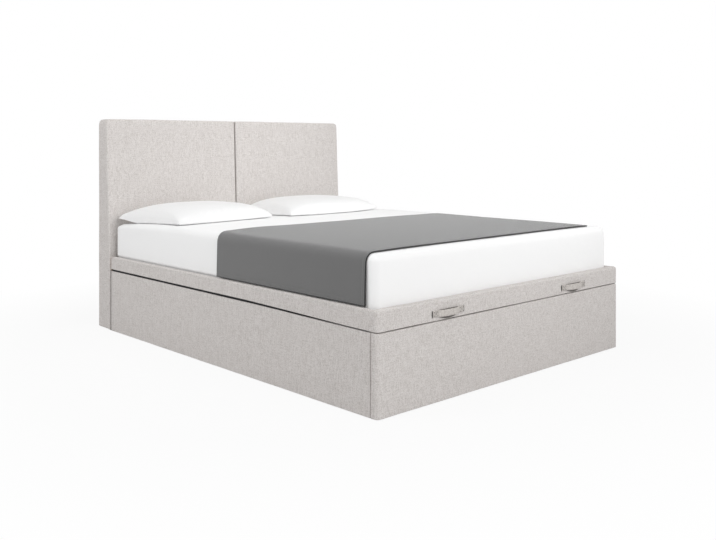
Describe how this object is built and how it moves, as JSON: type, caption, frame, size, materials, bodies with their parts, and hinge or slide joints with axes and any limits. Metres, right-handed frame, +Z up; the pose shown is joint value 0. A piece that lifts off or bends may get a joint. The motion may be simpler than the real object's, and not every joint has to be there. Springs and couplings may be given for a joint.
{
  "type": "upholstered lift-up storage bed",
  "caption": "Upholstered double bed with a storage box under a lift-up mattress platform on gas-strut hinges, and a padded two-panel headboard.",
  "frame": {"origin": "on the floor, under the middle of the overall length and width", "axes": "+X to the right seen from the foot, +Y towards the headboard, +Z up"},
  "size_m": [1.65, 2.202, 1.132],
  "materials": {
    "upholstery": "woven melange cloth, light warm grey",
    "boards": "plain board and softwood",
    "backing_cloth": "black lining cloth over hardboard",
    "zinc_steel": "zinc plated",
    "frame_paint": "satin powder coat",
    "strut_paint": "black enamel",
    "strut_chrome": "polished",
    "black_plastic": "matte",
    "buffer_rubber": "matte",
    "slat_wood": "birch ply, sealed",
    "mattress_cloth": "white sheet, fine weave",
    "pillow_cloth": "white pillowcase, fine weave",
    "throw_cloth": "mid grey woven throw"
  },
  "bodies": {
    "base": {"side_panel_left": "boards", "side_panel_right": "boards", "side_cover_left": "upholstery", "side_cover_right": "upholstery", "foot_panel": "boards", "foot_cover": "upholstery", "head_panel": "boards", "corner_brackets": "zinc_steel", "headboard_bolts": "zinc_steel", "floor_ledge_left": "boards", "floor_ledge_right": "boards", "floor_beam": "boards", "floor_panel_left": "boards", "floor_panel_right": "boards", "glides": "black_plastic", "lid_buffers": "buffer_rubber", "headboard_frame_left": "boards", "headboard_frame_right": "boards", "headboard_back_left": "backing_cloth", "headboard_back_right": "backing_cloth", "headboard_cover_left": "upholstery", "headboard_cover_right": "upholstery", "headboard_dowels": "boards", "hinge_plate_left": "frame_paint", "hinge_plate_right": "frame_paint", "hinge_plate_bolts": "zinc_steel", "hinge_pins": "zinc_steel"},
    "rear_arm_left": {"rear_arm_left": "frame_paint"},
    "rear_arm_right": {"rear_arm_right": "frame_paint"},
    "front_arm_left": {"front_arm_left": "frame_paint"},
    "front_arm_right": {"front_arm_right": "frame_paint"},
    "strut_cylinder_left": {"strut_cylinder_left": "strut_paint"},
    "strut_cylinder_right": {"strut_cylinder_right": "strut_paint"},
    "strut_rod_left": {"strut_rod_left": "strut_chrome"},
    "strut_rod_right": {"strut_rod_right": "strut_chrome"},
    "lid": {"lid_side_tube_left": "frame_paint", "lid_side_tube_right": "frame_paint", "lid_foot_tube": "frame_paint", "lid_head_tube": "frame_paint", "lid_centre_tube": "frame_paint", "lid_bracket_left": "frame_paint", "lid_bracket_right": "frame_paint", "lid_bracket_bolts": "zinc_steel", "lid_rail_left": "boards", "lid_rail_right": "boards", "lid_rail_foot": "boards", "lid_cover_left": "upholstery", "lid_cover_right": "upholstery", "lid_cover_foot": "upholstery", "slats_left": "slat_wood", "slats_right": "slat_wood", "slat_caps": "black_plastic", "mattress": "mattress_cloth", "pillow_left": "pillow_cloth", "pillow_right": "pillow_cloth", "throw": "throw_cloth"},
    "handle_left": {"handle_left": "upholstery"},
    "handle_right": {"handle_right": "upholstery"}
  },
  "joints": [
    {"name": "lid_lift", "type": "hinge", "parent": "rear_arm_left", "child": "lid", "pos_m": [-0.782, 0.548, 0.28], "axis": [-1, 0, 0], "range_deg": [0, 83.48]},
    {"name": "rear_arm_left_swing", "type": "hinge", "parent": "base", "child": "rear_arm_left", "pos_m": [-0.782, 0.1687, 0.1709], "axis": [1, 0, 0], "range_deg": [0, 48.48]},
    {"name": "front_arm_left_swing", "type": "hinge", "parent": "base", "child": "front_arm_left", "pos_m": [-0.769, 0.0248, 0.055], "axis": [1, 0, 0], "range_deg": [0, 40.52]},
    {"name": "strut_cylinder_left_swing", "type": "hinge", "parent": "base", "child": "strut_cylinder_left", "pos_m": [-0.753, 0.36677, 0.06], "axis": [1, 0, 0], "range_deg": [0, 24.24]},
    {"name": "strut_rod_left_turn", "type": "hinge", "parent": "rear_arm_left", "child": "strut_rod_left", "pos_m": [-0.753, 0.35351, 0.30271], "axis": [-1, 0, 0], "range_deg": [0, 24.24]},
    {"name": "rear_arm_right_swing", "type": "hinge", "parent": "base", "child": "rear_arm_right", "pos_m": [0.782, 0.1687, 0.1709], "axis": [1, 0, 0], "range_deg": [0, 48.48]},
    {"name": "front_arm_right_swing", "type": "hinge", "parent": "base", "child": "front_arm_right", "pos_m": [0.769, 0.0248, 0.055], "axis": [1, 0, 0], "range_deg": [0, 40.52]},
    {"name": "strut_cylinder_right_swing", "type": "hinge", "parent": "base", "child": "strut_cylinder_right", "pos_m": [0.753, 0.36677, 0.06], "axis": [1, 0, 0], "range_deg": [0, 24.24]},
    {"name": "strut_rod_right_turn", "type": "hinge", "parent": "rear_arm_right", "child": "strut_rod_right", "pos_m": [0.753, 0.35351, 0.30271], "axis": [-1, 0, 0], "range_deg": [0, 24.24]},
    {"name": "handle_left_lift", "type": "hinge", "parent": "lid", "child": "handle_left", "pos_m": [-0.43725, -1.0813, 0.359], "axis": [-1, 0, 0], "range_deg": [0, 75]},
    {"name": "handle_right_lift", "type": "hinge", "parent": "lid", "child": "handle_right", "pos_m": [0.43725, -1.0813, 0.359], "axis": [-1, 0, 0], "range_deg": [0, 75]}
  ],
  "couplings": [
    {"joint": "rear_arm_left_swing", "follows": "lid_lift", "ratio": 0.58074},
    {"joint": "front_arm_left_swing", "follows": "lid_lift", "ratio": 0.48538},
    {"joint": "strut_cylinder_left_swing", "follows": "lid_lift", "ratio": 0.29037},
    {"joint": "strut_rod_left_turn", "follows": "lid_lift", "ratio": 0.29037},
    {"joint": "rear_arm_right_swing", "follows": "lid_lift", "ratio": 0.58074},
    {"joint": "front_arm_right_swing", "follows": "lid_lift", "ratio": 0.48538},
    {"joint": "strut_cylinder_right_swing", "follows": "lid_lift", "ratio": 0.29037},
    {"joint": "strut_rod_right_turn", "follows": "lid_lift", "ratio": 0.29037}
  ]
}
